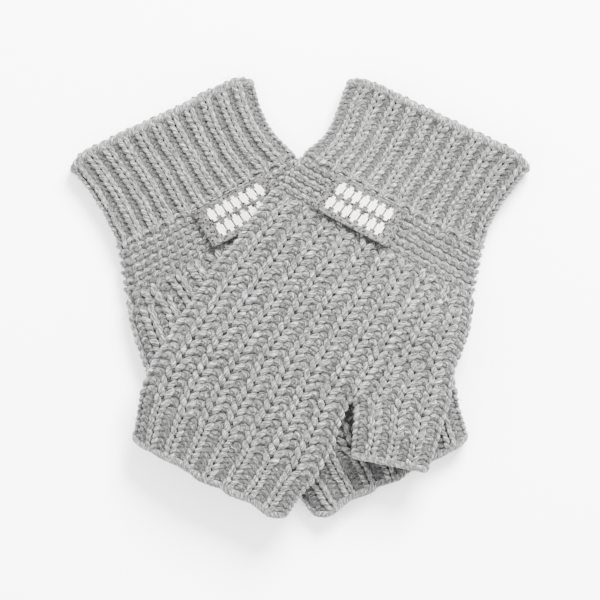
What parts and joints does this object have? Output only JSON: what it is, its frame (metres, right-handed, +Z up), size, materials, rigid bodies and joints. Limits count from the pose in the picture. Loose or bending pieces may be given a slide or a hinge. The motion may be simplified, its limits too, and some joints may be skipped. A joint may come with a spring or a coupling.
{
  "type": "fingerless gloves",
  "caption": "Pair of chunky ribbed wool fingerless gloves lying crossed, with flared ribbed cuffs, short open thumbs and a woven label at the wrist.",
  "frame": {"origin": "on the table under the middle of the pair", "axes": "+Z up from the table, +Y towards the cuffs, +X towards the right glove's cuff"},
  "size_m": [0.218, 0.208, 0.0294],
  "materials": {
    "knitted_yarn": "heather grey wool yarn, soft and slightly fuzzy",
    "label_cloth": "woven label, grey ground with off-white figures",
    "sewing_thread": "matte grey sewing thread"
  },
  "bodies": {
    "left_glove": {"left_wrist_band": "knitted_yarn", "left_palm": "knitted_yarn", "left_finger_section": "knitted_yarn", "left_finger_rib": "knitted_yarn", "left_finger_bind_off": "knitted_yarn", "left_label_stitching": "sewing_thread", "left_thumb": "knitted_yarn", "left_thumb_rib": "knitted_yarn", "left_thumb_bind_off": "knitted_yarn", "left_label": "label_cloth"},
    "left_cuff": {"left_cuff_edge": "knitted_yarn", "left_cuff_rib": "knitted_yarn"},
    "right_glove": {"right_wrist_band": "knitted_yarn", "right_palm": "knitted_yarn", "right_finger_section": "knitted_yarn", "right_finger_rib": "knitted_yarn", "right_finger_bind_off": "knitted_yarn", "right_label_stitching": "sewing_thread"},
    "right_cuff": {"right_cuff_edge": "knitted_yarn", "right_cuff_rib": "knitted_yarn"},
    "right_thumb": {"right_thumb": "knitted_yarn", "right_thumb_rib": "knitted_yarn", "right_thumb_bind_off": "knitted_yarn"},
    "right_label_flap": {"right_label": "label_cloth"}
  },
  "joints": [
    {"name": "right_glove_lift", "type": "slide", "parent": "left_glove", "child": "right_glove", "axis": [0, 0, 1], "range_m": [0, 0.06]},
    {"name": "left_cuff_fold", "type": "hinge", "parent": "left_glove", "child": "left_cuff", "pos_m": [-0.04415, 0.0444, 0.0113], "axis": [0.8842, 0.4671, 0], "range_deg": [0, 90]},
    {"name": "right_cuff_fold", "type": "hinge", "parent": "right_glove", "child": "right_cuff", "pos_m": [0.04415, 0.0444, 0.0193], "axis": [0.8741, -0.4617, -0.1511], "range_deg": [0, 90]},
    {"name": "right_thumb_fold", "type": "hinge", "parent": "right_glove", "child": "right_thumb", "pos_m": [0.0487, -0.04165, 0.0279], "axis": [-0.9709, -0.2396, 0], "range_deg": [0, 90]},
    {"name": "right_label_flap_fold", "type": "hinge", "parent": "right_glove", "child": "right_label_flap", "pos_m": [0.017, 0.057, 0.02646], "axis": [-0.8699, 0.4572, 0.185], "range_deg": [0, 75]}
  ]
}
